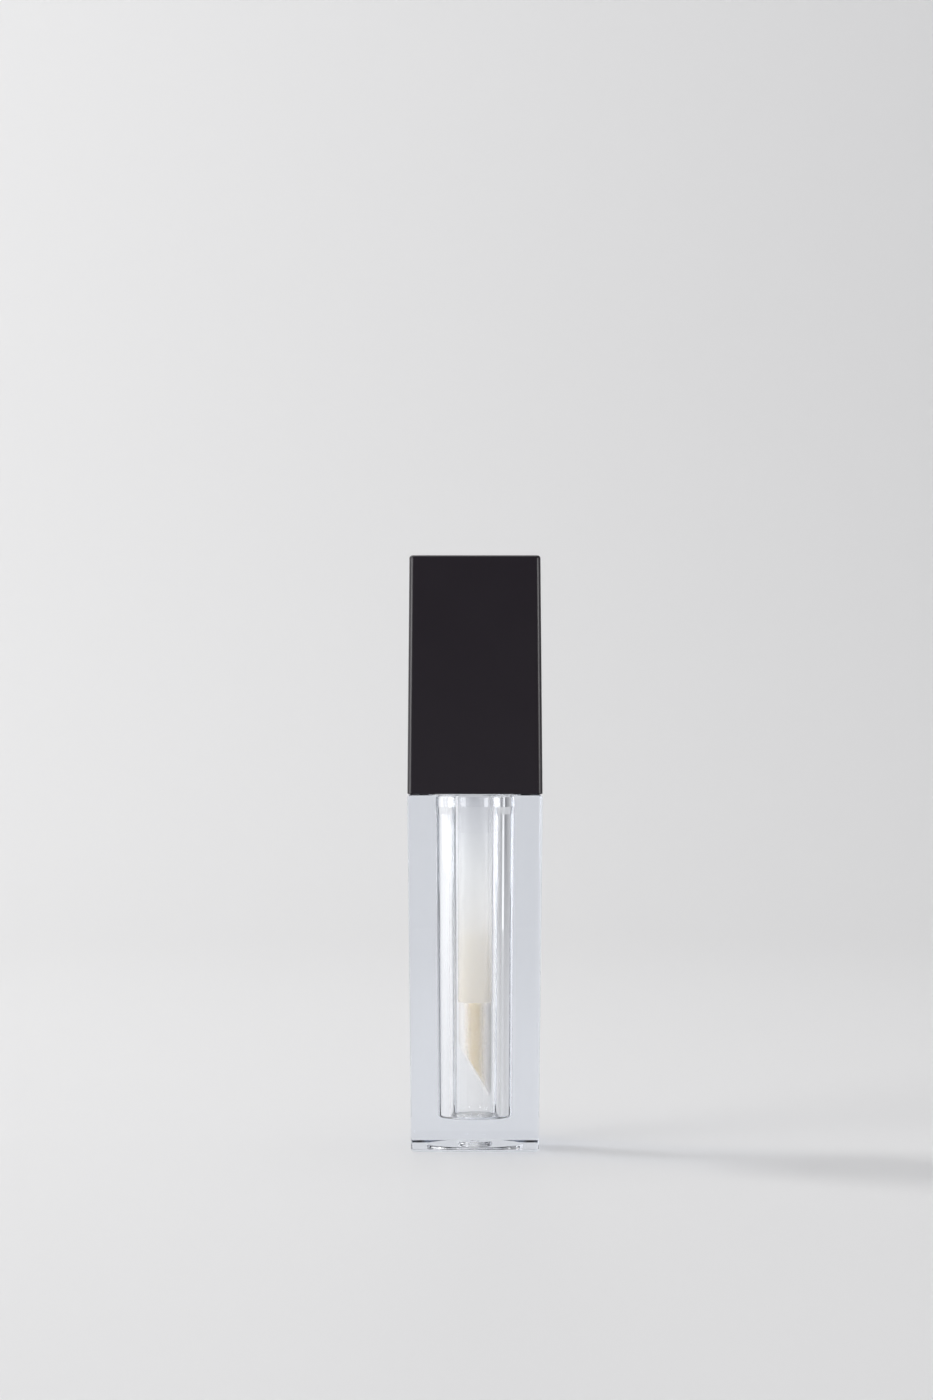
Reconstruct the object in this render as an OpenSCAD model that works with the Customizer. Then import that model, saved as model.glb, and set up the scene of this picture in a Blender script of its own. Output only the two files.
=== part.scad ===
// Square lip gloss tube with a screw cap and a doe-foot wand.
// Millimetres. The origin is the centre of the foot, +Z points up the tube,
// and the front of the tube faces -Y. The slanted face of the wand's tip faces -X.
//
// The widths run from the outside in: the shoulder's width, less the walls and the plays on the
// way, gives the cap, the liner, the neck, the wiper and last the stem.

/* [Bottle] */
// Width across the flat sides at the shoulder, and across the cap's open end
shoulder_w = 20; // [16.6:0.1:24]
// How much narrower the foot is than the shoulder
foot_taper = 1.1; // [0:0.1:2]
// Height from the foot to the shoulder
body_h = 52.7; // [43:0.1:64]
// Rounding of the upright corners and of the foot's edge
corner_r = 0.5; // [0.3:0.05:1]
// Rounding of the shoulder's edge
shoulder_r = 0.3; // [0.1:0.05:0.6]
// Thickness of the solid floor under the bore
floor_t = 4.4; // [2.5:0.1:8]
// Rounding where the bore meets its floor
bore_floor_r = 0.5; // [0.2:0.1:1.5]
// How much narrower the bore is at its floor than below the wiper's seat, across the diameter
bore_taper = 0.6; // [0.2:0.05:1]
// How far the bore's wall stands inside the wiper's seat
seat_step = 0.125; // [0.05:0.025:0.3]
// Length of the cone that leads from the seat to the bore
seat_taper_h = 1.1; // [0.5:0.1:2]
// Least width of the flat rim between the foot's side and the recess in the underside
foot_land = 2.25; // [1.5:0.05:4]
// Depth of the recess in the underside
recess_depth = 0.45; // [0.2:0.05:0.8]
// Diameter of the dimple that holds the gate mark clear of the table
gate_d = 5.2; // [3:0.1:8]
// Depth of the gate dimple beyond the recess
gate_depth = 0.4; // [0.2:0.05:0.8]

/* [Neck] */
// Height of the neck above the shoulder
neck_h = 11.3; // [9.5:0.1:14]
// Wall of the neck round the wiper's seat, under the thread
neck_wall = 0.8; // [0.6:0.05:1.2]
// Height of the thread above the neck's wall
thread_depth = 0.6; // [0.4:0.05:0.8]
// Number of thread starts
thread_starts = 2; // [1:1:3]
// Distance from one ridge of the thread to the next
thread_pitch = 3; // [2.5:0.1:4]
// Axial width of the thread at its root
thread_root_w = 1.2; // [0.9:0.1:1.3]
// Axial width of the thread at its crest
thread_crest_w = 0.6; // [0.4:0.1:0.8]
// Height of the thread's lower end above the shoulder
thread_foot_h = 2.4; // [2:0.1:3]
// Depth of the thread's upper end below the rim
thread_top_drop = 1.7; // [1.5:0.1:2.5]

/* [Wiper] */
// Length of the wiper's sleeve below the rim of the neck
sleeve_h = 13; // [10:0.1:16]
// Wall of the wiper's sleeve
sleeve_wall = 0.6; // [0.4:0.05:0.8]
// Thickness of the flange that lies on the rim of the neck
flange_t = 0.8; // [0.5:0.1:1.2]
// Radial room between the lip and the sleeve
lip_room = 1.02; // [0.8:0.02:1.6]
// Wall of the wiper's lip
lip_wall = 0.48; // [0.3:0.02:0.6]
// Length of the lip beyond the sleeve
lip_drop = 4; // [2:0.1:5]
// Height of the straight part of the lip
lip_h = 5.5; // [4.5:0.1:6.5]
// Height of the funnel above the lip
funnel_h = 4.5; // [3:0.1:6]

/* [Cap] */
// How much narrower the cap's closed end is than its open end
cap_taper = 0.6; // [0:0.1:1]
// Wall of the cap at its open end
cap_wall = 1.55; // [1:0.05:1.9]
// Height of the cap
cap_h = 35.3; // [26:0.1:45]
// Gap that shows between the cap and the shoulder
cap_gap = 0.2; // [0.1:0.05:0.5]
// Thickness of the cap's closed end
cap_top_t = 1.4; // [1:0.1:2.5]
// Rounding of the cap's upright corners
cap_r = 0.75; // [0.3:0.05:1]
// Rounding of the rim of the cap's closed end
cap_rim_r = 0.45; // [0.2:0.05:1]
// Rounding of the upright corners of the cap's cavity
cavity_r = 0.8; // [0.4:0.1:0.9]
// Thickness of the ribs inside the cap
rib_t = 1; // [0.8:0.1:1.4]
// Wall of the threaded liner
liner_wall = 0.88; // [0.7:0.02:1.1]
// Thickness of the liner's end wall
liner_top_t = 1.2; // [0.8:0.1:1.8]
// How far the liner stays inside the cap's open end
liner_inset = 0.3; // [0.2:0.1:1]
// Width of the liner's four corner wings
wing_w = 1.6; // [1.3:0.1:2]
// Height of the wings' lower ends above the liner's
wing_rise = 1; // [0.5:0.1:4]
// Depth of the plug seal that enters the wiper
plug_h = 1.2; // [0.8:0.1:1.6]
// Wall of the plug seal
plug_wall = 0.8; // [0.5:0.05:1]

/* [Wand] */
// Wall of the stem
stem_wall = 1.7; // [1.2:0.05:2]
// Widening of the hollow at its mouth, across the diameter
mouth_flare = 0.5; // [0.3:0.05:0.8]
// Length over which the mouth widens
mouth_h = 6; // [3:0.5:8]
// How far the stem's head stands out from the stem
head_step = 1.65; // [1:0.05:2]
// Thickness of the stem's head
head_t = 1; // [0.8:0.1:1.6]
// Length of the soft tip below the stem
tip_h = 14.6; // [12:0.1:18]
// Gap between the tip and the floor of the bore
tip_gap = 2.6; // [1.5:0.1:4]
// Angle between the tip's slanted face and the axis
slant_angle = 38; // [30:1:50]
// Width of what the slanted face leaves of the tip's end
tip_land = 1.1; // [0.6:0.05:1.6]
// Rounding of the tip's lower rim
tip_r = 1; // [0.7:0.1:1.5]
// Thickness of the flocking
flock_t = 0.55; // [0.4:0.05:0.65]
// Length of the pin inside the stem
pin_h = 10.6; // [7:0.1:16]

/* [Fits] */
// Radial play of the stem and of the pin that turn in a round hole
run_play = 0.05; // [0.03:0.01:0.08]
// Gap between faces that turn against each other
face_play = 0.05; // [0.03:0.01:0.1]
// How much smaller the flocking's radius is than the stem's
flock_drop = 0.05; // [0:0.01:0.2]
// Radial play between the two threads
thread_play = 0.12; // [0.1:0.01:0.15]
// Axial play between the flanks of the two threads
flank_play = 0.05; // [0.02:0.01:0.1]
// Slack between the liner and the square cavity
liner_slack = 0.05; // [0.02:0.01:0.1]
// Play between the plug seal and the wiper's sleeve
plug_play = 0.1; // [0.05:0.01:0.2]
// How much deeper the wiper's seat is than its sleeve
seat_play = 0.1; // [0.05:0.05:0.3]

/* [Hidden] */
$fn = 96;
CORNER_FN = 32;  // facets of the small spheres that round the square shapes
STEPS = 36;      // steps of a thread in one turn
EPS = 0.01;      // overlap that keeps a cut from ending on a face
OVER = 1;        // how far a cut runs past the face that it opens, or a boss into its wall
ROOT_SINK = 0.2; // how deep a thread is rooted in its wall
MIN_ROUND = 0.1; // least rounding of the tip's core, whose rim lies inside the flocking's

// widths, from the outside in
foot_w = shoulder_w - foot_taper;
recess_r = foot_w / 2 - foot_land;
cap_top_w = shoulder_w - cap_taper;
cavity_w = shoulder_w - 2 * cap_wall;
liner_r = cavity_w / 2 - liner_slack;
liner_bore_r = liner_r - liner_wall;
thread_crest_r = liner_bore_r - thread_play;
neck_r = thread_crest_r - thread_depth;
seat_r = neck_r - neck_wall;
bore_top_r = seat_r - seat_step;
bore_floor_d = 2 * bore_top_r - bore_taper;
sleeve_bore_r = seat_r - sleeve_wall;
lip_r = sleeve_bore_r - lip_room;
orifice_r = lip_r - lip_wall;
plug_r = sleeve_bore_r - plug_play;
stem_r = orifice_r - run_play;
stem_bore_r = stem_r - stem_wall;
mouth_r = stem_bore_r + mouth_flare / 2;
head_r = stem_r + head_step;
pin_r = stem_bore_r - run_play;
flock_r = stem_r - flock_drop;
core_r = flock_r - flock_t;

// heights of the bottle and its neck
rim_z = body_h + neck_h;
thread_foot_z = body_h + thread_foot_h;  // centre line of a ridge where it starts
thread_top_z = rim_z - thread_top_drop;  // and where it ends
thread_lead = thread_starts * thread_pitch;

// heights of the wiper in its seat
flange_z = rim_z + flange_t;
sleeve_end_z = rim_z - sleeve_h;
seat_z = sleeve_end_z - seat_play;
lip_end_z = sleeve_end_z - lip_drop;
lip_top_z = lip_end_z + lip_h;
funnel_top_z = lip_top_z + funnel_h;

// heights of the cap and its liner, which closes on the wiper's flange
cap_z = body_h + cap_gap;
cap_inner_top_z = cap_z + cap_h - cap_top_t;
liner_foot_z = cap_z + liner_inset;
liner_z = flange_z + face_play;          // inner face of the liner's end wall
liner_top_z = liner_z + liner_top_t;

// heights of the wand
head_z = liner_top_z + face_play;
tip_z = floor_t + tip_gap;
stem_end_z = tip_z + tip_h;
tip_top_z = stem_end_z - face_play;

// ---------------------------------------------------------------- shapes

// Square block that tapers from w0 at z0 to w1 at z1. r0 and r1 round its corners at the ends, and
// rim_r rounds its upper rim. sharp_foot leaves the rim at z0 square.
module tapered_block(z0, w0, r0, z1, w1, r1, rim_r, sharp_foot = false) {
    hull() {
        for (x = [-1, 1], y = [-1, 1]) {
            translate([x * (w0 / 2 - r0), y * (w0 / 2 - r0), sharp_foot ? z0 : z0 + r0])
                if (sharp_foot) cylinder(r = r0, h = EPS, $fn = CORNER_FN);
                else sphere(r = r0, $fn = CORNER_FN);
            translate([x * (w1 / 2 - r1), y * (w1 / 2 - r1), z1 - rim_r])
                rotate_extrude($fn = CORNER_FN)
                    intersection() {
                        translate([r1 - rim_r, 0]) circle(r = rim_r, $fn = CORNER_FN);
                        square([r1, rim_r]);
                    }
        }
        // a flat foot, because the small spheres' poles fall short of it
        plate(z0, w0 - 2 * r0);
    }
}

module plate(z, w) {
    translate([-w / 2, -w / 2, z]) cube([w, w, EPS]);
}

// Straight square prism with rounded upright corners, standing on z = 0.
module square_prism(w, h, r) {
    for (turn = [0, 90])
        rotate(turn) translate([-w / 2, r - w / 2, 0]) cube([w, w - 2 * r, h]);
    for (x = [-1, 1], y = [-1, 1])
        translate([x * (w / 2 - r), y * (w / 2 - r), 0]) cylinder(r = r, h = h);
}

// One helical ridge. Its flat crest is at crest_r, its root at root_r is sunk into a wall, and its
// centre line climbs from z0 to z1. It shrinks to nothing over the first and last eighth of a turn.
module ridge(z0, z1, root_r, crest_r, root_w, crest_w) {
    n = ceil((z1 - z0) / thread_lead * STEPS);
    fade = STEPS / 8;
    function size(i) = min(1, (i + 1) / fade, (n - i + 1) / fade);
    function ring(i) = let (
        a = 360 * i / STEPS,
        z = z0 + thread_lead * i / STEPS,
        s = size(i),
        r = root_r + (crest_r - root_r) * s
    ) [for (p = [
        [root_r, -root_w * s / 2], [r, -crest_w * s / 2],
        [r, crest_w * s / 2], [root_r, root_w * s / 2]
    ]) [p[0] * cos(a), p[0] * sin(a), z + p[1]]];
    points = [for (i = [0:n]) each ring(i)];
    outward = crest_r > root_r;
    sides = [for (i = [0:n - 1], k = [0:3]) let (
        a = 4 * i + k, b = 4 * i + (k + 1) % 4
    ) each [[a, b, b + 4], [a, b + 4, a + 4]]];
    ends = [[0, 3, 2], [0, 2, 1], [4 * n, 4 * n + 1, 4 * n + 2], [4 * n, 4 * n + 2, 4 * n + 3]];
    faces = concat(sides, ends);
    polyhedron(points, outward ? faces : [for (f = faces) [f[2], f[1], f[0]]]);
}

// Every start of the thread on the neck or, lowered by drop, in the liner.
module thread(root_r, crest_r, drop = 0) {
    for (start = [0:thread_starts - 1])
        translate([0, 0, -drop]) rotate(360 * start / thread_starts)
            ridge(thread_foot_z, thread_top_z, root_r, crest_r, thread_root_w, thread_crest_w);
}

// Round tip of radius r with a rounded lower rim, from the tip's end up to z1. The slanted face
// rises from the end towards -X. Everything is set in by inset, for an even skin of flocking.
module doe_foot(r, inset, z1) {
    z0 = tip_z + inset;
    rim = max(tip_r - inset, MIN_ROUND);
    cut = 2 * tip_h;
    difference() {
        rotate_extrude() {
            square_from(0, z0, r - rim, z1);
            square_from(0, z0 + rim, r, z1);
            intersection() {
                translate([r - rim, z0 + rim]) circle(r = rim);
                square_from(0, z0, r, z1);
            }
        }
        translate([flock_r - tip_land, 0, tip_z]) rotate([0, 90 - slant_angle, 0])
            translate([-cut, -r - OVER, inset - cut])
                cube([2 * cut, 2 * (r + OVER), cut]);
    }
}

module square_from(x0, y0, x1, y1) {
    translate([x0, y0]) square([x1 - x0, y1 - y0]);
}

// ---------------------------------------------------------------- bottle

module bottle() {
    bore_r0 = bore_floor_d / 2;
    bore_z0 = floor_t + bore_floor_r;
    color([0.86, 0.88, 0.92, 0.35]) difference() {
        union() {
            tapered_block(0, foot_w, corner_r, body_h, shoulder_w, shoulder_r, shoulder_r);
            translate([0, 0, body_h - OVER]) cylinder(r = neck_r, h = neck_h + OVER);
            thread(neck_r - ROOT_SINK, thread_crest_r);
        }
        // bore, its lead-in cone, the wiper's seat and the rounded floor
        translate([0, 0, bore_z0])
            cylinder(r1 = bore_r0, r2 = bore_top_r, h = seat_z - seat_taper_h - bore_z0);
        translate([0, 0, seat_z - seat_taper_h - EPS])
            cylinder(r1 = bore_top_r, r2 = seat_r, h = seat_taper_h + EPS);
        translate([0, 0, seat_z - EPS]) cylinder(r = seat_r, h = rim_z - seat_z + OVER);
        translate([0, 0, floor_t]) cylinder(r = bore_r0 - bore_floor_r, h = 2 * bore_floor_r);
        translate([0, 0, bore_z0]) rotate_extrude()
            intersection() {
                translate([bore_r0 - bore_floor_r, 0]) circle(r = bore_floor_r);
                square_from(0, -bore_floor_r, bore_r0, EPS);
            }
        // recess under the foot, with the gate dimple
        translate([0, 0, -OVER]) cylinder(r = recess_r, h = OVER + recess_depth);
        translate([0, 0, -OVER]) cylinder(d = gate_d, h = OVER + recess_depth + gate_depth);
    }
}

// Pressed into the neck: flange on the rim, sleeve in the seat, funnel and lip round the stem.
module wiper() {
    color([0.93, 0.94, 0.95, 0.6]) difference() {
        union() {
            translate([0, 0, rim_z]) cylinder(r = neck_r, h = flange_t);
            translate([0, 0, sleeve_end_z]) cylinder(r = seat_r, h = sleeve_h + EPS);
            translate([0, 0, lip_end_z]) cylinder(r = lip_r, h = lip_drop + EPS);
        }
        // way in, funnel and orifice
        translate([0, 0, funnel_top_z])
            cylinder(r = sleeve_bore_r, h = flange_z - funnel_top_z + OVER);
        translate([0, 0, lip_top_z])
            cylinder(r1 = orifice_r, r2 = sleeve_bore_r, h = funnel_h + EPS);
        translate([0, 0, lip_end_z - OVER]) cylinder(r = orifice_r, h = lip_h + OVER + EPS);
        // hollow outside the lip and the funnel, open at the sleeve's end
        difference() {
            translate([0, 0, sleeve_end_z - EPS])
                cylinder(r = sleeve_bore_r, h = funnel_top_z - sleeve_end_z - sleeve_wall);
            translate([0, 0, sleeve_end_z - OVER])
                cylinder(r = lip_r, h = lip_top_z - sleeve_end_z + OVER);
            translate([0, 0, lip_top_z - EPS])
                cylinder(r1 = lip_r, r2 = sleeve_bore_r + lip_wall, h = funnel_h);
        }
    }
}

// ---------------------------------------------------------------- cap

// Threaded liner: the end wall seals on the wiper's flange and carries the stem.
module inner_cap() {
    wing_r = liner_r * sqrt(2) - wing_w / 2;
    wing_root_r = liner_r - liner_wall / 2;
    wing_foot_z = liner_foot_z + wing_rise;
    // a closed cap pulls down, so the liner's ridge lies just under the neck's
    thread_drop = (thread_root_w + thread_crest_w) / 2 + flank_play;
    color("whitesmoke") {
        difference() {
            union() {
                translate([0, 0, liner_foot_z])
                    cylinder(r = liner_r, h = liner_top_z - liner_foot_z);
                for (turn = [45:90:315])
                    rotate(turn) translate([wing_root_r, -wing_w / 2, wing_foot_z])
                        cube([wing_r - wing_root_r, wing_w, liner_top_z - wing_foot_z]);
            }
            translate([0, 0, liner_foot_z - OVER])
                cylinder(r = liner_bore_r, h = liner_z - liner_foot_z + OVER);
            translate([0, 0, liner_z - OVER])
                cylinder(r = orifice_r, h = liner_top_t + 2 * OVER);
        }
        translate([0, 0, liner_z - plug_h]) difference() {
            cylinder(r = plug_r, h = plug_h + EPS);
            translate([0, 0, -OVER]) cylinder(r = plug_r - plug_wall, h = plug_h + 2 * OVER);
        }
        thread(liner_bore_r + ROOT_SINK, neck_r + thread_play, thread_drop);
    }
}

// Black square shell. Four ribs inside stand on the liner and trap the stem's head.
module outer_cap() {
    rib_r = head_r / 2;
    color([0.1, 0.09, 0.1]) {
        difference() {
            tapered_block(cap_z, shoulder_w, cap_r, cap_z + cap_h, cap_top_w, cap_r, cap_rim_r, true);
            translate([0, 0, cap_z - OVER])
                square_prism(cavity_w, cap_inner_top_z - cap_z + OVER, cavity_r);
        }
        difference() {
            for (turn = [0:90:270])
                rotate(turn) translate([rib_r, -rib_t / 2, liner_top_z])
                    cube([cavity_w / 2 - rib_r + EPS, rib_t, cap_inner_top_z - liner_top_z + EPS]);
            translate([0, 0, liner_top_z - OVER])
                cylinder(r = head_r + 2 * face_play, h = OVER + head_t + 2 * face_play);
        }
    }
}

// ---------------------------------------------------------------- wand

// Hollow rod with a head, open at its lower end.
module stem() {
    color([0.93, 0.93, 0.92, 0.7]) difference() {
        union() {
            translate([0, 0, stem_end_z]) cylinder(r = stem_r, h = head_z - stem_end_z + EPS);
            translate([0, 0, head_z]) cylinder(r = head_r, h = head_t);
        }
        translate([0, 0, stem_end_z - OVER])
            cylinder(r = stem_bore_r, h = head_z - stem_end_z + OVER);
        translate([0, 0, stem_end_z - EPS])
            cylinder(r1 = mouth_r, r2 = stem_bore_r, h = mouth_h);
    }
}

// Soft doe-foot with the pin that plugs the stem.
module applicator_core() {
    color([0.87, 0.81, 0.7]) {
        doe_foot(core_r, flock_t, tip_top_z);
        translate([0, 0, tip_top_z - OVER]) cylinder(r = pin_r, h = pin_h + OVER);
        translate([0, 0, tip_top_z - EPS])
            cylinder(r1 = mouth_r - run_play, r2 = pin_r, h = mouth_h);
    }
}

// Fibre skin of the doe-foot.
module flocking() {
    color([0.93, 0.9, 0.85]) difference() {
        doe_foot(flock_r, 0, tip_top_z);
        doe_foot(core_r, flock_t, tip_top_z + OVER);
    }
}

bottle();
wiper();
inner_cap();
outer_cap();
stem();
applicator_core();
flocking();
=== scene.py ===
import bpy
import numpy as np
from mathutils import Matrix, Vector


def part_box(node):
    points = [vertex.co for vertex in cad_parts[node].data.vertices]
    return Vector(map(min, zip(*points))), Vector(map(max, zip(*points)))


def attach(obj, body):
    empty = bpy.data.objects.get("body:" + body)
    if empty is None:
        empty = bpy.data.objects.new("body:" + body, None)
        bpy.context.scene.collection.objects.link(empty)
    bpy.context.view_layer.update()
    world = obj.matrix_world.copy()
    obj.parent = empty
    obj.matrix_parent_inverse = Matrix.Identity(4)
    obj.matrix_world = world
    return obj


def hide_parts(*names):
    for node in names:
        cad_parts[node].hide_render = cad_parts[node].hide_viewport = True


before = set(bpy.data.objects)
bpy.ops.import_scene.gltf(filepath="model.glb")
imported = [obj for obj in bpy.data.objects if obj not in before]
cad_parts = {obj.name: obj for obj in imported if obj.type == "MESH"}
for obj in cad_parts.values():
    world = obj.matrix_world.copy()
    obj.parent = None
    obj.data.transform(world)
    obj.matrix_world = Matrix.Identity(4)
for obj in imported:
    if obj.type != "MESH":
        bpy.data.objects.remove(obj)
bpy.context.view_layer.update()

# ---------------------------------------------------------------- bottle
# The bottle is one moulding of clear acrylic: a thick square body round a blind bore, with a round
# neck and a two-start thread. It was filled through a gate in the dimple under its foot, where a
# small broken nub is left.

FLAT_COLUMNS = 40    # columns of the mesh along a flat side
CORNER_COLUMNS = 8   # and round an upright corner
TINY = 1e-12         # keeps a division by a length of nothing in hand
SAME_POINT = 1e-6    # millimetres; nearer points of an outline count as one


def box_mm(node):
    """Lowest and highest corner of a CAD node, in millimetres."""
    low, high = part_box(node)
    return np.array(low) * 1000, np.array(high) * 1000


def rounded_outline(corners, steps=8, closed=False):
    """Outline through the corners (across, up, radius), each replaced by an arc of its radius.

    An arc's centre lies on the bisector of its two edges, at radius / sin(half the corner's angle).
    Its points are the spherical blend of the two spokes that touch the edges.
    """
    corners = np.array(corners, float)
    at, radius = corners[:, :2], corners[:, 2:]
    back = np.roll(at, 1, axis=0) - at
    ahead = np.roll(at, -1, axis=0) - at
    back /= np.linalg.norm(back, axis=1, keepdims=True) + TINY
    ahead /= np.linalg.norm(ahead, axis=1, keepdims=True) + TINY
    bisector = back + ahead
    bisector /= np.linalg.norm(bisector, axis=1, keepdims=True) + TINY
    half = np.arccos(np.clip((back * ahead).sum(1, keepdims=True), -1, 1)) / 2
    centre = at + bisector * radius / np.sin(half)
    first = at + back * radius / np.tan(half) - centre
    last = at + ahead * radius / np.tan(half) - centre
    sweep = np.pi - 2 * half
    share = np.linspace(0, 1, steps + 1)[None, :, None]
    spread = sweep[:, None]
    arcs = centre[:, None] + (
        np.sin((1 - share) * spread) * first[:, None] + np.sin(share * spread) * last[:, None]
    ) / np.sin(spread)
    arcs = np.where(radius[:, None] > 0, arcs, at[:, None])
    if not closed:
        arcs[[0, -1]] = at[[0, -1], None]
    points = arcs.reshape(-1, 2)
    step = np.linalg.norm(points - np.roll(points, 1, axis=0), axis=1)
    keep = step > SAME_POINT
    if not closed:
        keep[0] = True
    return points[keep]


def side_columns():
    """Flat fraction and corner angle of every column, for one side and the corner that follows it."""
    flat = np.linspace(-1, 1, FLAT_COLUMNS + 1)
    bend = np.linspace(0, np.pi / 2, CORNER_COLUMNS + 1)[1:-1]
    return (
        np.concatenate([flat, np.ones(len(bend))]),
        np.concatenate([np.zeros(len(flat)), bend]),
    )


def square_rings(outline, inner):
    """Rounded squares, one for each (half width, height) of the outline.

    inner is the half distance between the corners' centres, so a corner's radius is the half width
    less inner. A flat's columns are at (half width, fraction * inner), and the corner's are on its arc.
    """
    fraction, bend = side_columns()
    half_w, z = outline[:, :1], outline[:, 1:]
    inner = np.broadcast_to(np.reshape(inner, (-1, 1)), half_w.shape)
    corner = half_w - inner
    x = inner + corner * np.cos(bend)
    y = fraction * inner + corner * np.sin(bend)
    sides = [(x, y), (-y, x), (-x, -y), (y, -x)]
    x = np.concatenate([s[0] for s in sides], axis=1)
    y = np.concatenate([s[1] for s in sides], axis=1)
    return np.stack([x, y, np.broadcast_to(z, x.shape)], axis=2)


def column_angles(half_w, corner_r):
    """Angle of every column on a square of that half width and corner radius, for the round rings."""
    ring = square_rings(np.array([[half_w, 0.0]]), half_w - corner_r)[0]
    return np.unwrap(np.arctan2(ring[:, 1], ring[:, 0]))


def round_rings(outline, angles, grow=0.0):
    """Circles, one for each (radius, height) of the outline, widened by grow where it is given."""
    radius, z = outline[:, :1] + grow, outline[:, 1:]
    x = radius * np.cos(angles)
    y = radius * np.sin(angles)
    return np.stack([x, y, np.broadcast_to(z, x.shape)], axis=2)


def ring_mesh(name, rings, poles=None, closed=False):
    """Mesh through rings of points in millimetres, (rings, columns, 3), each joined to the next.

    The rings run so that a wall which they climb faces away from the axis. poles are the points
    that close the first and the last ring with a fan; closed joins the last ring to the first.
    Its normals are the faces' normals averaged by area, so that flats beside a small round stay flat.
    """
    rows, columns = rings.shape[:2]
    index = np.arange(rows * columns).reshape(rows, columns)
    beside = np.roll(index, -1, axis=1)
    lower = slice(None) if closed else slice(-1)
    below, below_next = index[lower], beside[lower]
    above, above_next = np.roll(index, -1, axis=0)[lower], np.roll(beside, -1, axis=0)[lower]
    quads = np.stack([below, below_next, above_next, above], axis=-1).reshape(-1, 4)
    points = rings.reshape(-1, 3)
    fans = np.zeros((0, 3), int)
    if poles is not None:
        first = np.full(columns, len(points))
        points = np.concatenate([points, np.array(poles, float)])
        fans = np.concatenate([
            np.stack([first, beside[0], index[0]], axis=1),
            np.stack([first + 1, index[-1], beside[-1]], axis=1),
        ])
    normals = np.zeros_like(points)
    for faces in (quads, fans):
        a, b, c = points[faces[:, 0]], points[faces[:, 1]], points[faces[:, 2]]
        d = points[faces[:, -1]]
        area = np.cross(c - a, d - b) if faces.shape[1] == 4 else np.cross(b - a, c - a)
        for corner in faces.T:
            np.add.at(normals, corner, area)
    normals /= np.linalg.norm(normals, axis=1, keepdims=True)
    mesh = bpy.data.meshes.new(name)
    mesh.from_pydata((points / 1000).tolist(), [], quads.tolist() + fans.tolist())
    mesh.update()
    mesh.polygons.foreach_set("use_smooth", np.ones(len(mesh.polygons), bool))
    mesh.normals_split_custom_set_from_vertices(normals.tolist())
    return mesh


def place(name, mesh, material, body, slot, *nodes):
    """Object of that mesh and material, riding on a body in the place of the CAD nodes."""
    piece = bpy.data.objects.new(name, mesh)
    bpy.context.scene.collection.objects.link(piece)
    mesh.materials.append(material)
    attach(piece, body)
    if nodes:
        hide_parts(*nodes)


def new_material(name):
    """Material with nodes, its tree, and its Principled node."""
    material = bpy.data.materials.new(name)
    material.use_nodes = True
    return material, material.node_tree, material.node_tree.nodes["Principled BSDF"]


def add_node(tree, kind, inputs=(), **settings):
    """Node of that kind. inputs gives numbers or other nodes' sockets by the input's name."""
    node = tree.nodes.new(kind)
    for key, value in settings.items():
        setattr(node, key, value)
    for key, value in dict(inputs).items():
        if isinstance(value, bpy.types.NodeSocket):
            tree.links.new(value, node.inputs[key])
        else:
            node.inputs[key].default_value = value
    return node


def object_noise(tree, scale, detail, stretch=(1, 1, 1)):
    """Noise on the piece's own coordinates; scale is in waves a metre, stretch multiplies each axis."""
    place_of = add_node(tree, "ShaderNodeTexCoord")
    mapping = add_node(tree, "ShaderNodeMapping", {"Vector": place_of.outputs["Object"], "Scale": stretch})
    noise = add_node(
        tree, "ShaderNodeTexNoise", {"Vector": mapping.outputs[0], "Scale": scale, "Detail": detail}
    )
    return noise.outputs["Fac"]


def ramp(tree, value, low, high, to_low, to_high):
    """Turns a value between low and high into one between to_low and to_high, held at the ends."""
    node = add_node(
        tree, "ShaderNodeMapRange",
        {"Value": value, "From Min": low, "From Max": high, "To Min": to_low, "To Max": to_high},
    )
    return node.outputs["Result"]


def lamp_glass(tree, shader, tint, *kinds):
    """Puts a Transparent shader of that tint in for those kinds of ray.

    Shadow rays come from lamps and diffuse rays from matt surfaces. Both then reach what is inside.
    """
    path = add_node(tree, "ShaderNodeLightPath")
    through = add_node(tree, "ShaderNodeBsdfTransparent", {"Color": tint})
    for kind in kinds:
        mix = add_node(tree, "ShaderNodeMixShader", {0: path.outputs[kind], 1: shader, 2: through.outputs[0]})
        shader = mix.outputs[0]
    tree.links.new(shader, tree.nodes["Material Output"].inputs["Surface"])


bottle_high = box_mm("bottle")[1]
cap_low, cap_high = box_mm("outer_cap")
wiper_low, wiper_high = box_mm("wiper")

rim_z = bottle_high[2]
cap_gap = 0.2
shoulder_z = cap_low[2] - cap_gap
shoulder_half = bottle_high[0]
foot_taper = 0.55
foot_half = shoulder_half - foot_taper
upright_r = 0.5
shoulder_r = 0.3
floor_z = 4.4
bore_floor_r = 5.575
bore_top_r = 5.875
seat_r = 6.0
seat_z = 50.9
seat_slope_h = 1.1
neck_r = 6.8
thread_depth = 0.6
thread_lead = 6.0
thread_root_w = 1.2
thread_crest_w = 0.6
thread_low_z = shoulder_z + 2.4
thread_high_z = rim_z - 1.7
thread_fade_h = thread_lead / 8
recess_r = 7.2
recess_z = 0.45
gate_r = 2.6
gate_z = 0.85
nub_r = 0.55
nub_z = 0.6
ring_step = 0.12    # height between the rings that carry the thread

angles = column_angles(10.0, upright_r)    # as on the shoulder, which is 20 mm wide


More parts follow.
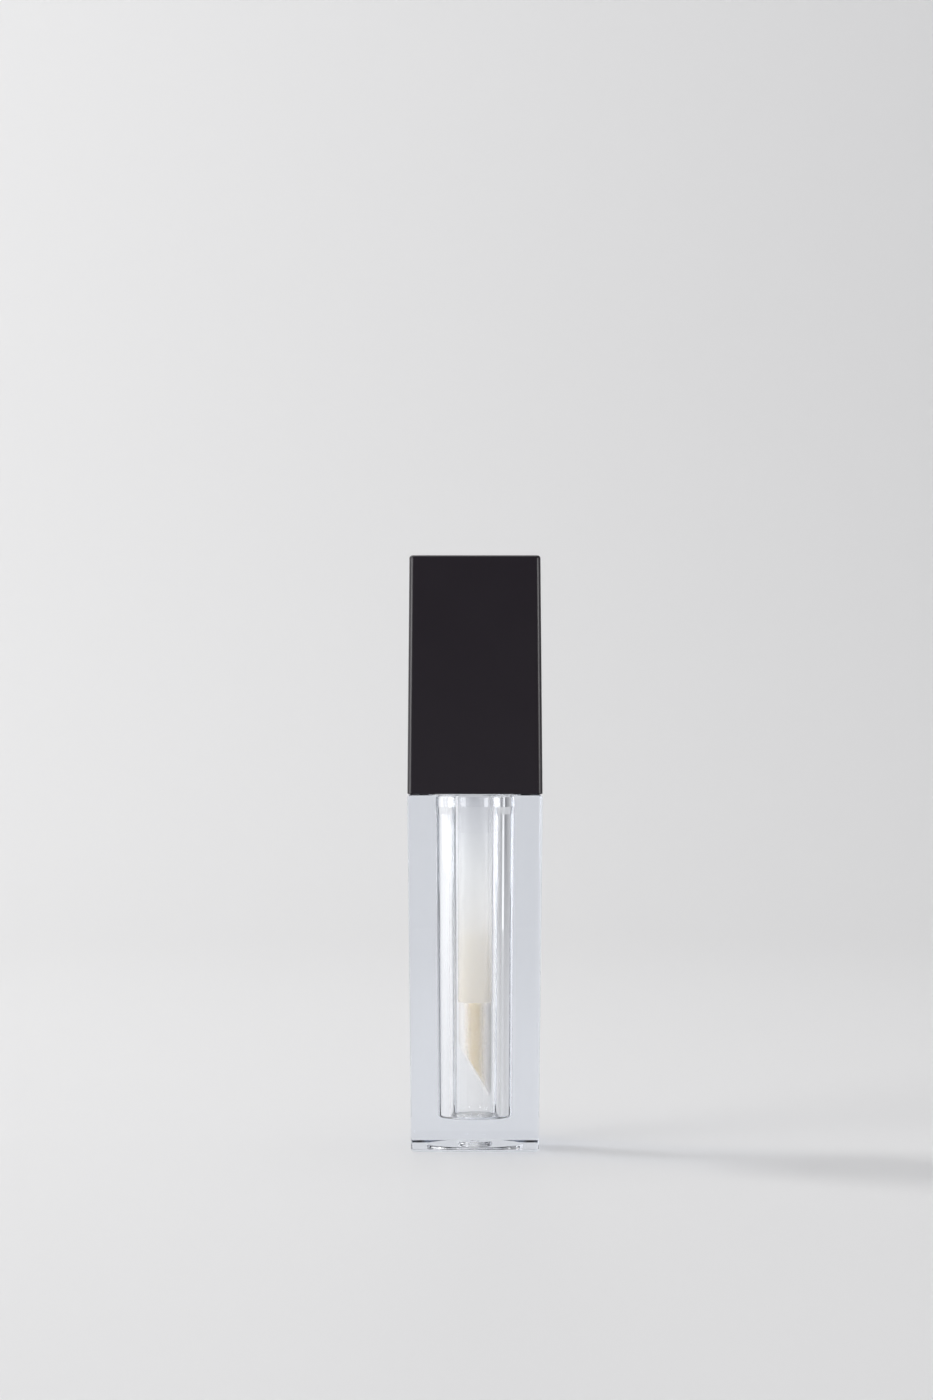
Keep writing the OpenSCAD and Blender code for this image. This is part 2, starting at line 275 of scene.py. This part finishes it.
def thread_height(angles, z):
    """Height of the thread above the neck at each angle and height z.

    A ridge's centre line climbs one lead a turn, and there are two, half a turn apart. The height falls
    from the crest to the root with the distance from the nearest centre line, and fades over the first
    and the last eighth of a turn.
    """
    turns = (z - thread_low_z) / thread_lead - angles / (2 * np.pi)
    off = (turns - np.round(2 * turns) / 2) * thread_lead
    flank = (thread_root_w / 2 - np.abs(off)) / ((thread_root_w - thread_crest_w) / 2)
    ends = np.minimum(z - off - thread_low_z, thread_high_z - z + off) / thread_fade_h
    return thread_depth * np.clip(flank, 0, 1) * np.clip(ends, 0, 1)


underside = rounded_outline([
    (0, nub_z, 0), (nub_r, nub_z, 0.12), (nub_r + 0.15, gate_z, 0.1),
    (gate_r - 0.1, gate_z, 0.35), (gate_r + 0.05, recess_z, 0.12),
    (recess_r - 0.05, recess_z, 0.3), (recess_r + 0.05, 0, 0.12), (foot_half - upright_r, 0, 0),
])[1:-1]
quarter = np.radians(np.linspace(-90, 0, 9))
foot_edge = np.stack([
    foot_half - upright_r + upright_r * np.cos(quarter), upright_r + upright_r * np.sin(quarter),
], axis=1)
shoulder_edge = np.stack([
    shoulder_half - shoulder_r + shoulder_r * np.cos(quarter + np.pi / 2),
    shoulder_z - shoulder_r + shoulder_r * np.sin(quarter + np.pi / 2),
], axis=1)
neck_foot = rounded_outline([
    (shoulder_half - shoulder_r, shoulder_z, 0), (neck_r, shoulder_z, 0.4), (neck_r, rim_z, 0),
])[1:-1]
neck_wall_z = np.arange(neck_foot[-1, 1] + 0.1, rim_z - 0.3, ring_step)
neck_wall = np.stack([np.full(len(neck_wall_z), neck_r), neck_wall_z], axis=1)
inside = rounded_outline([
    (neck_r, neck_wall_z[-1], 0), (neck_r, rim_z, 0.22), (seat_r, rim_z, 0.15), (seat_r, seat_z, 0.1),
    (bore_top_r, seat_z - seat_slope_h, 0.3), (bore_floor_r, floor_z, 0.5), (0, floor_z, 0),
])[1:-1]

bottle_rings = np.concatenate([
    round_rings(underside, angles),
    square_rings(foot_edge, foot_half - upright_r),
    square_rings(shoulder_edge, shoulder_half - shoulder_r),
    round_rings(neck_foot, angles),
    round_rings(neck_wall, angles, thread_height(angles, neck_wall_z[:, None])),
    round_rings(inside, angles),
])
bottle_mesh = ring_mesh("bottle_body", bottle_rings, poles=[(0, 0, nub_z), (0, 0, floor_z)])

acrylic, tree, glass = new_material("clear_acrylic")
glass.inputs["Base Color"].default_value = (1, 1, 1, 1)
glass.inputs["Transmission Weight"].default_value = 1
glass.inputs["IOR"].default_value = 1.49
# faint rub marks along the tube
rubbed = object_noise(tree, 900, 3, (1, 1, 0.03))
tree.links.new(ramp(tree, rubbed, 0.5, 0.8, 0.0, 0.006), glass.inputs["Roughness"])
# drag lines that the core pin leaves down the bore as it is pulled, and a gentle waviness outside
place_of = add_node(tree, "ShaderNodeTexCoord")
across = add_node(
    tree, "ShaderNodeVectorMath", {0: place_of.outputs["Object"], 1: (1, 1, 0)}, operation="MULTIPLY"
)
from_axis = add_node(tree, "ShaderNodeVectorMath", {0: across.outputs[0]}, operation="LENGTH")
drag = object_noise(tree, 500, 2, (1, 1, 0.006))
bump = add_node(tree, "ShaderNodeBump", {"Height": drag, "Distance": 0.00002})
tree.links.new(ramp(tree, from_axis.outputs["Value"], 0.0062, 0.0066, 0.4, 0.02), bump.inputs["Strength"])
tree.links.new(bump.outputs[0], glass.inputs["Normal"])
lamp_glass(tree, glass.outputs[0], (0.95, 0.955, 0.965, 1), "Is Diffuse Ray", "Is Shadow Ray")
absorb = add_node(tree, "ShaderNodeVolumeAbsorption", {"Color": (0.2, 0.42, 0.8, 1), "Density": 8.0})
tree.links.new(absorb.outputs[0], tree.nodes["Material Output"].inputs["Volume"])
place("bottle_body", bottle_mesh, acrylic, "tube", "clear_bottle", "bottle")

# ---------------------------------------------------------------- wiper
# The wiper is a soft natural polyethylene sleeve that is pressed into the neck. Its flange lies on
# the rim, and its funnel leads to a thin lip that strips the wand.

flange_top_z = wiper_high[2]
lip_low_z = wiper_low[2]
flange_r = wiper_high[0]
seat_clearance = 0.02
sleeve_r = seat_r - seat_clearance
sleeve_bore_r = 5.4
sleeve_h = 13
sleeve_low_z = rim_z - sleeve_h
lip_r = 4.38
orifice_r = 3.9
lip_h = 5.5
lip_top_z = lip_low_z + lip_h
funnel_h = 4.5
funnel_top_z = lip_top_z + funnel_h
flange_clearance = 0.01
under_flange_z = rim_z + flange_clearance
groove_h = 3.06
groove_z = lip_top_z + groove_h

wiper_outline = rounded_outline([
    (orifice_r, lip_low_z, 0.12), (lip_r, lip_low_z, 0.2), (lip_r, lip_top_z, 1.0),
    (sleeve_bore_r, groove_z, 0.15), (sleeve_bore_r, sleeve_low_z, 0.12),
    (sleeve_r, sleeve_low_z, 0.2), (sleeve_r, under_flange_z, 0.1), (flange_r, under_flange_z, 0.12),
    (flange_r, flange_top_z, 0.25), (sleeve_bore_r, flange_top_z, 0.3),
    (sleeve_bore_r, funnel_top_z, 1.0), (orifice_r, lip_top_z, 1.0),
], closed=True)
wiper_mesh = ring_mesh("wiper_sleeve", round_rings(wiper_outline, angles), closed=True)


def object_height(tree):
    """Height on the piece's own coordinates, in metres."""
    place_of = add_node(tree, "ShaderNodeTexCoord")
    return add_node(tree, "ShaderNodeSeparateXYZ", {0: place_of.outputs["Object"]}).outputs["Z"]


natural_pe, tree, wax = new_material("natural_polyethylene")
wax.inputs["Base Color"].default_value = (0.98, 0.98, 1, 1)
wax.inputs["IOR"].default_value = 1.51
# the lip is thin and nearly clear, and the sleeve and the flange above it are milky
height = object_height(tree)
clear_below, milky_above = 0.0530, 0.0535
tree.links.new(ramp(tree, height, clear_below, milky_above, 0.07, 0.55), wax.inputs["Alpha"])
tree.links.new(ramp(tree, height, clear_below, milky_above, 0.97, 0.5), wax.inputs["Transmission Weight"])
mottle = object_noise(tree, 1500, 3)
tree.links.new(ramp(tree, mottle, 0.3, 0.7, 0.04, 0.1), wax.inputs["Roughness"])
lamp_glass(tree, wax.outputs[0], (0.99, 0.99, 1, 1), "Is Diffuse Ray", "Is Shadow Ray")
place("wiper_sleeve", wiper_mesh, natural_pe, "tube", "natural_wiper", "wiper")

# ---------------------------------------------------------------- stem
# The stem is a hollow rod of natural polypropylene, a little milky, with a head that the cap's ribs
# hold down on the liner. Its lower mouth widens to take the applicator's pin.

stem_low, stem_high = box_mm("stem")
stem_r = 3.85
stem_bore_r = 2.15
mouth_r = 2.4
mouth_h = 6
head_t = 1
head_z = stem_high[2] - head_t

stem_outline = rounded_outline([
    (0, head_z, 0), (stem_bore_r, head_z, 0.3), (stem_bore_r, stem_low[2] + mouth_h, 3),
    (mouth_r, stem_low[2], 0.15), (stem_r, stem_low[2], 0.12), (stem_r, head_z, 0.15),
    (stem_high[0], head_z, 0.15), (stem_high[0], stem_high[2], 0.2), (0, stem_high[2], 0),
])[1:-1]
stem_mesh = ring_mesh(
    "stem_rod", round_rings(stem_outline, angles), poles=[(0, 0, head_z), (0, 0, stem_high[2])]
)

milky_pp, tree, milk = new_material("milky_polypropylene")
# a little warmer and greyer towards its mouth, where the cream pin stands inside it. The grading from grey
# # at the mouth to pale at the head is painted light: it makes up for the shade that the cap casts on the
# # stem's top
pin_tint_and_painted_light_ramp = ramp(tree, object_height(tree), 0.02, 0.046, 0.0, 1.0)
pin_tint_and_painted_light = add_node(tree, "ShaderNodeMix", {0: pin_tint_and_painted_light_ramp}, data_type="RGBA")
pin_tint_and_painted_light.inputs[6].default_value = (0.905, 0.885, 0.85, 1)
pin_tint_and_painted_light.inputs[7].default_value = (0.99, 0.99, 0.985, 1)
tree.links.new(pin_tint_and_painted_light.outputs[2], milk.inputs["Base Color"])
milk.inputs["IOR"].default_value = 1.49
flow = object_noise(tree, 500, 2, (1, 1, 0.3))
tree.links.new(ramp(tree, flow, 0.3, 0.7, 0.03, 0.07), milk.inputs["Roughness"])
facing = add_node(tree, "ShaderNodeLayerWeight", {"Blend": 0.5}).outputs["Facing"]
tree.links.new(ramp(tree, facing, 0.5, 0.8, 0.3, 1.0), milk.inputs["Transmission Weight"])
haze = add_node(tree, "ShaderNodeBsdfTranslucent", {"Color": pin_tint_and_painted_light.outputs[2]})
blend = add_node(
    tree, "ShaderNodeMixShader",
    {0: ramp(tree, facing, 0.5, 0.8, 0.5, 0.0), 1: milk.outputs[0], 2: haze.outputs[0]},
)
lamp_glass(tree, blend.outputs[0], (0.8, 0.8, 0.8, 1), "Is Shadow Ray")
place("stem_rod", stem_mesh, milky_pp, "wand_stem", "milky_stem", "stem")

# ---------------------------------------------------------------- applicator core
# The core is one moulding of soft cream elastomer. Its lower end is a doe-foot with a slanted face,
# and the pin above that is pushed into the stem's mouth.

core_high = box_mm("applicator_core")[1]
flock_low, flock_high = box_mm("flocking")
slant = np.radians(38)
core_r = core_high[0]
flock_r = flock_high[0]
skin_t = flock_r - core_r
land_w = 1.1        # the flat that is left at the lower end of the slant
slant_foot_x = flock_r - land_w
land_blend = 0.35   # how softly the slant runs into that flat
tip_top_z = flock_high[2]
pin_r = 2.1
pin_seat_r = mouth_r - 0.05


def doe_foot_rings(radius, inset, edge, steps=26):
    """Rings of the doe-foot's lower end and wall, from its middle outwards and then up.

    The end's height is the slanted plane or the flat land, whichever is higher, joined by a soft
    maximum and raised by inset. Near the wall it turns up along a quarter circle of radius edge.
    """
    turn = np.linspace(0, np.pi / 2, 9)
    inner = np.linspace(0, radius - edge, steps)[1:]
    across = np.concatenate([inner, radius - edge + edge * np.sin(turn[1:])])[:, None]
    lift = np.concatenate([np.zeros(len(inner)), edge * (1 - np.cos(turn[1:]))])[:, None]
    x, y = across * np.cos(angles), across * np.sin(angles)
    run = (slant_foot_x - x) / np.tan(slant) + inset / np.sin(slant)
    z = flock_low[2] + (run + inset + np.sqrt((run - inset) ** 2 + land_blend**2)) / 2 + lift
    wall = np.linspace(0, 1, 6)[1:, None, None]
    end = np.stack([x, y, z], axis=2)
    top = np.stack([x[-1], y[-1], np.full_like(x[-1], tip_top_z)], axis=1)
    return np.concatenate([end, end[-1] + (top - end[-1]) * wall])


core_rings = doe_foot_rings(core_r, skin_t, 0.6)
pin_outline = rounded_outline([
    (core_r, tip_top_z, 0), (pin_seat_r, tip_top_z, 0.1), (pin_r, tip_top_z + mouth_h, 3),
    (pin_r, core_high[2], 0.4), (0, core_high[2], 0),
])[1:-1]
middle_z = flock_low[2] + slant_foot_x / np.tan(slant)
core_mesh = ring_mesh(
    "doe_foot_core", np.concatenate([core_rings, round_rings(pin_outline, angles)]),
    poles=[(0, 0, middle_z + skin_t / np.sin(slant)), (0, 0, core_high[2])],
)

elastomer, tree, cream = new_material("cream_elastomer")
cream.inputs["Base Color"].default_value = (0.83, 0.75, 0.57, 1)
cream.inputs["Subsurface Weight"].default_value = 0.3
cream.inputs["Subsurface Radius"].default_value = (0.002, 0.0015, 0.0008)
cream.inputs["Subsurface Scale"].default_value = 1
grain = object_noise(tree, 2500, 3)
tree.links.new(ramp(tree, grain, 0.3, 0.7, 0.45, 0.65), cream.inputs["Roughness"])
place("doe_foot_core", core_mesh, elastomer, "screw_cap", "cream_core", "applicator_core")

# ---------------------------------------------------------------- flocking
# The flocking is short white nylon fibre. A static charge sets it upright in a skin of clear glue
# round the core, up to the stem's mouth.

glue_t = 0.12
glue_lift = 0.01    # keeps the glue's inner face off the core's
fibre_count = 49000
fibre_h = skin_t - glue_t
fibre_r = 0.008
fibre_lean = 0.22

glue_outer = doe_foot_rings(core_r + glue_t, skin_t - glue_t, 0.65)
glue_inner = doe_foot_rings(core_r + glue_lift, skin_t - glue_lift, 0.6)[::-1]
outer_middle_z = middle_z + (skin_t - glue_t) / np.sin(slant)
inner_middle_z = middle_z + (skin_t - glue_lift) / np.sin(slant)
glue_mesh = ring_mesh(
    "flock_glue", np.concatenate([glue_outer, glue_inner]),
    poles=[(0, 0, outer_middle_z), (0, 0, inner_middle_z)],
)


def fibre_mesh(rings, count):
    """Thin four-sided spikes standing on the quads of a ring surface, spread evenly by area.

    A spike's foot is a small triangle, and its point lies up to fibre_h along the quad's normal, which
    is tilted a little at random. A spike is a closed tetrahedron.
    """
    random = np.random.default_rng(7)
    a, b = rings[:-1], np.roll(rings, -1, axis=1)[:-1]
    c, d = np.roll(rings, -1, axis=1)[1:], rings[1:]
    area = np.cross(c - a, d - b).reshape(-1, 3)
    size = np.linalg.norm(area, axis=1)
    pick = random.choice(len(size), count, p=size / size.sum())
    u, v = random.random((2, count, 1))
    corner = [q.reshape(-1, 3)[pick] for q in (a, b, c, d)]
    foot = (
        (1 - u) * (1 - v) * corner[0] + u * (1 - v) * corner[1] + u * v * corner[2] + (1 - u) * v * corner[3]
    )
    normal = area[pick] / size[pick, None]
    lean = normal + random.normal(0, fibre_lean, (count, 3))
    lean /= np.linalg.norm(lean, axis=1, keepdims=True)
    reach = lean * (fibre_h * (0.8 + 0.2 * random.random((count, 1))))
    side = np.cross(normal, random.normal(0, 1, (count, 3)))
    side /= np.linalg.norm(side, axis=1, keepdims=True)
    other = np.cross(normal, side)
    turn = 2 * np.pi * np.arange(3) / 3
    base = foot[:, None] + fibre_r * (
        np.cos(turn)[None, :, None] * side[:, None] + np.sin(turn)[None, :, None] * other[:, None]
    )
    points = np.concatenate([base, (foot + reach)[:, None]], axis=1).reshape(-1, 3)
    start = 4 * np.arange(count)[:, None, None]
    faces = (start + np.array([[0, 2, 1], [0, 1, 3], [1, 2, 3], [2, 0, 3]])).reshape(-1, 3)
    mesh = bpy.data.meshes.new("flock_fibres")
    mesh.from_pydata((points / 1000).tolist(), [], faces.tolist())
    mesh.update()
    return mesh


nylon, tree, fibre = new_material("white_flock")
fibre.inputs["Roughness"].default_value = 0.6
fibre.inputs["Sheen Weight"].default_value = 0.3
shade = object_noise(tree, 3000, 2)
tint = add_node(tree, "ShaderNodeMix", {0: shade}, data_type="RGBA")
tint.inputs[6].default_value = (0.88, 0.875, 0.87, 1)
tint.inputs[7].default_value = (0.86, 0.85, 0.84, 1)
tree.links.new(tint.outputs[2], fibre.inputs["Base Color"])
glow = add_node(tree, "ShaderNodeBsdfTranslucent", {"Color": (0.84, 0.835, 0.825, 1)})
soft = add_node(tree, "ShaderNodeMixShader", {0: 0.4, 1: fibre.outputs[0], 2: glow.outputs[0]})
lamp_glass(tree, soft.outputs[0], (0.95, 0.95, 0.94, 1), "Is Shadow Ray")
place("flock_fibres", fibre_mesh(glue_outer, fibre_count), nylon, "screw_cap", "pale_flocking", "flocking")

glue, tree, skin = new_material("flock_glue")
skin.inputs["Base Color"].default_value = (0.88, 0.87, 0.865, 1)
skin.inputs["Roughness"].default_value = 0.5
facing = add_node(tree, "ShaderNodeLayerWeight", {"Blend": 0.5}).outputs["Facing"]
tree.links.new(ramp(tree, facing, 0.02, 0.45, 0.1, 0.8), skin.inputs["Alpha"])
lamp_glass(tree, skin.outputs[0], (0.9, 0.89, 0.88, 1), "Is Shadow Ray")
place("flock_glue", glue_mesh, glue, "screw_cap", "pale_flocking")

# ---------------------------------------------------------------- liner
# The liner is a screw cap of white polypropylene, moulded with its thread and a plug seal. Four
# corner wings hold it where it is pressed into the black shell, and its end wall takes the stem.

liner_pp, tree, white = new_material("white_polypropylene")
white.inputs["Base Color"].default_value = (0.85, 0.85, 0.84, 1)
pore = object_noise(tree, 1800, 3)
tree.links.new(ramp(tree, pore, 0.3, 0.7, 0.35, 0.5), white.inputs["Roughness"])
bump = add_node(tree, "ShaderNodeBump", {"Height": pore, "Strength": 0.1, "Distance": 0.00002})
tree.links.new(bump.outputs[0], white.inputs["Normal"])
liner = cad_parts["inner_cap"]
liner.data.materials.clear()
liner.data.materials.append(liner_pp)

# ---------------------------------------------------------------- cap shell
# The shell is a square box of black polystyrene with a satin finish, drafted towards its top. Four
# ribs inside it stand on the liner.

cap_r = 0.75
cap_rim_r = 0.45
cap_half = cap_high[0]
cap_draft = 0.3
cap_top_half = cap_half - cap_draft
cap_top_t = 1.4
cap_edge = 0.1      # chamfer round the open end
cavity_half = 8.45
cavity_r = 0.8
cavity_top_z = cap_high[2] - cap_top_t
rib_t = 1.0

foot_ring = np.array([[cap_half - cap_edge, cap_low[2]], [cap_half, cap_low[2] + cap_edge]])
top_ring = np.stack([
    cap_top_half - cap_rim_r + cap_rim_r * np.cos(quarter + np.pi / 2),
    cap_high[2] - cap_rim_r + cap_rim_r * np.sin(quarter + np.pi / 2),
], axis=1)
cavity_rings = np.array([
    [cavity_half, cavity_top_z], [cavity_half, cap_low[2] + cap_edge],
    [cavity_half + cap_edge, cap_low[2]],
])
cap_rings = np.concatenate([
    square_rings(cavity_rings, cavity_half - cavity_r),
    square_rings(foot_ring, cap_half - cap_r),
    square_rings(top_ring, cap_top_half - cap_r),
])
cap_mesh = ring_mesh("cap_shell", cap_rings, poles=[(0, 0, cavity_top_z), (0, 0, cap_high[2])])


def boxes_mesh(name, low, high, quarter_turns):
    """Boxes from low to high in millimetres, one for each number of quarter turns about the axis."""
    corner = np.array([[x, y, z] for z in (0, 1) for x, y in ((0, 0), (1, 0), (1, 1), (0, 1))], float)
    box = np.array(low) + corner * (np.array(high) - np.array(low))
    faces = np.array([[0, 3, 2, 1], [4, 5, 6, 7], [0, 1, 5, 4], [1, 2, 6, 5], [2, 3, 7, 6], [3, 0, 4, 7]])
    turn = np.array(quarter_turns) * np.pi / 2
    x = box[:, 0] * np.cos(turn)[:, None] - box[:, 1] * np.sin(turn)[:, None]
    y = box[:, 0] * np.sin(turn)[:, None] + box[:, 1] * np.cos(turn)[:, None]
    points = np.stack([x, y, np.broadcast_to(box[:, 2], x.shape)], axis=2).reshape(-1, 3)
    first_corner = len(box) * np.arange(len(turn))[:, None, None]
    quads = (first_corner + faces).reshape(-1, 4)
    mesh = bpy.data.meshes.new(name)
    mesh.from_pydata((points / 1000).tolist(), [], quads.tolist())
    mesh.update()
    return mesh


satin, tree, black = new_material("satin_black")
black.inputs["Base Color"].default_value = (0.0085, 0.0048, 0.0093, 1)
fine = object_noise(tree, 7000, 4)
patch = object_noise(tree, 160, 2)
tree.links.new(ramp(tree, patch, 0.3, 0.7, 0.28, 0.31), black.inputs["Roughness"])
bump = add_node(tree, "ShaderNodeBump", {"Height": fine, "Strength": 0.12, "Distance": 0.00001})
tree.links.new(bump.outputs[0], black.inputs["Normal"])
place("cap_shell", cap_mesh, satin, "screw_cap", "black_cap", "outer_cap")
# the ribs stand on the liner and end just outside the stem's head
rib_low_z = box_mm("inner_cap")[1][2]
head_clearance = 0.1
rib_inner_x = stem_high[0] + head_clearance
ribs_mesh = boxes_mesh(
    "cap_ribs", (rib_inner_x, -rib_t / 2, rib_low_z), (cavity_half, rib_t / 2, cavity_top_z), range(4)
)
place("cap_ribs", ribs_mesh, satin, "screw_cap", "black_cap")

# ---------------------------------------------------------------- studio
# A pale paper sweep. Soft lamps overhead light it, a small key lamp behind on the left and a softer
# one in front cast the shadows, low lamps in front light the wand, and panels at the sides make the
# bright bands in the bore.

sweep_back = 0.9
sweep_bend = 0.5
sweep_half = 2.0
sweep_top = 1.6
sweep_front = 1.2
floor_drop = 0.00002    # keeps the floor off the bottle's foot

bend = np.radians(np.linspace(0, 90, 25))
sweep_y = np.concatenate([[-sweep_front], sweep_back - sweep_bend + sweep_bend * np.sin(bend), [sweep_back]])
sweep_z = np.concatenate([[0], sweep_bend - sweep_bend * np.cos(bend), [sweep_top]]) - floor_drop
left_edge = np.stack([np.full(len(sweep_y), -sweep_half), sweep_y, sweep_z], axis=1)
right_edge = left_edge * (-1, 1, 1)
edge_points = len(left_edge)
row = np.arange(edge_points - 1)
strips = np.stack([row, row + edge_points, row + edge_points + 1, row + 1], axis=1)
sweep_mesh = bpy.data.meshes.new("sweep")
sweep_mesh.from_pydata(np.concatenate([left_edge, right_edge]).tolist(), [], strips.tolist())
sweep_mesh.update()
sweep_mesh.polygons.foreach_set("use_smooth", np.ones(len(strips), bool))
sweep = bpy.data.objects.new("sweep", sweep_mesh)
bpy.context.scene.collection.objects.link(sweep)
paper, tree, board = new_material("pale_sweep")
board.inputs["Base Color"].default_value = (0.78, 0.78, 0.78, 1)
board.inputs["Roughness"].default_value = 0.5
sweep_mesh.materials.append(paper)

world = bpy.data.worlds.new("studio")
world.use_nodes = True
sky = world.node_tree.nodes["Background"]
sky.inputs["Color"].default_value = (0.94, 0.945, 1, 1)
sky.inputs["Strength"].default_value = 0.26
bpy.context.scene.world = world


def soft_lamp(name, centre, aim, wide, high, power, colour=(1, 1, 1)):
    """Rectangular area lamp at centre, turned towards aim."""
    lamp = bpy.data.lights.new(name, "AREA")
    lamp.shape = "RECTANGLE"
    lamp.size, lamp.size_y, lamp.energy, lamp.color = wide, high, power, colour
    stand = bpy.data.objects.new(name, lamp)
    bpy.context.scene.collection.objects.link(stand)
    stand.location = centre
    stand.rotation_euler = (Vector(centre) - Vector(aim)).to_track_quat("Z", "Y").to_euler()


soft_lamp("ceiling_lamp", (-0.12, 0.0, 0.9), (-0.12, 0.0, 0), 0.8, 0.8, 2.4)
soft_lamp("ceiling_right", (0.5, 0.2, 1.0), (0.5, 0.2, 0), 0.5, 0.5, 0.35)
soft_lamp("key_lamp", (-0.8, 0.36, 0.9), (0, 0, 0.04), 0.2, 0.2, 4.4, (1, 0.99, 0.965))
soft_lamp("high_lamp", (-0.6, -0.36, 0.5), (0, 0, 0.04), 0.35, 0.35, 1.2)
soft_lamp("front_lamp", (-0.95, -0.6, 0.13), (0, 0, 0.035), 0.7, 0.22, 3.4)
soft_lamp("fill_lamp", (1.0, -0.7, 0.13), (0, 0, 0.035), 0.6, 0.22, 3.1)
soft_lamp("left_panel", (-0.75, 0.2, 0.35), (0.1, 0.2, 0.35), 1.2, 0.7, 1.92)
soft_lamp("right_panel", (0.45, 0.03, 0.2), (0, 0.03, 0.2), 0.1, 0.4, 0.08)
soft_lamp("backdrop_lamp", (-0.25, 0.3, 1.0), (-0.1, 0.9, 0.3), 0.9, 0.3, 0.45)

camera = bpy.data.cameras.new("camera")
camera.lens = 85
camera.sensor_width = 36
camera_stand = bpy.data.objects.new("camera", camera)
bpy.context.scene.collection.objects.link(camera_stand)
camera_stand.location = (-0.00125, -0.498, 0.0668)
camera_stand.rotation_euler = (np.pi / 2, 0, 0)
bpy.context.scene.camera = camera_stand
bpy.context.scene.view_settings.view_transform = "Standard"
# light crosses many walls of clear plastic before it comes out again
cycles = bpy.context.scene.cycles
cycles.max_bounces = 24
cycles.diffuse_bounces = 12
cycles.transmission_bounces = 24
cycles.transparent_max_bounces = 32
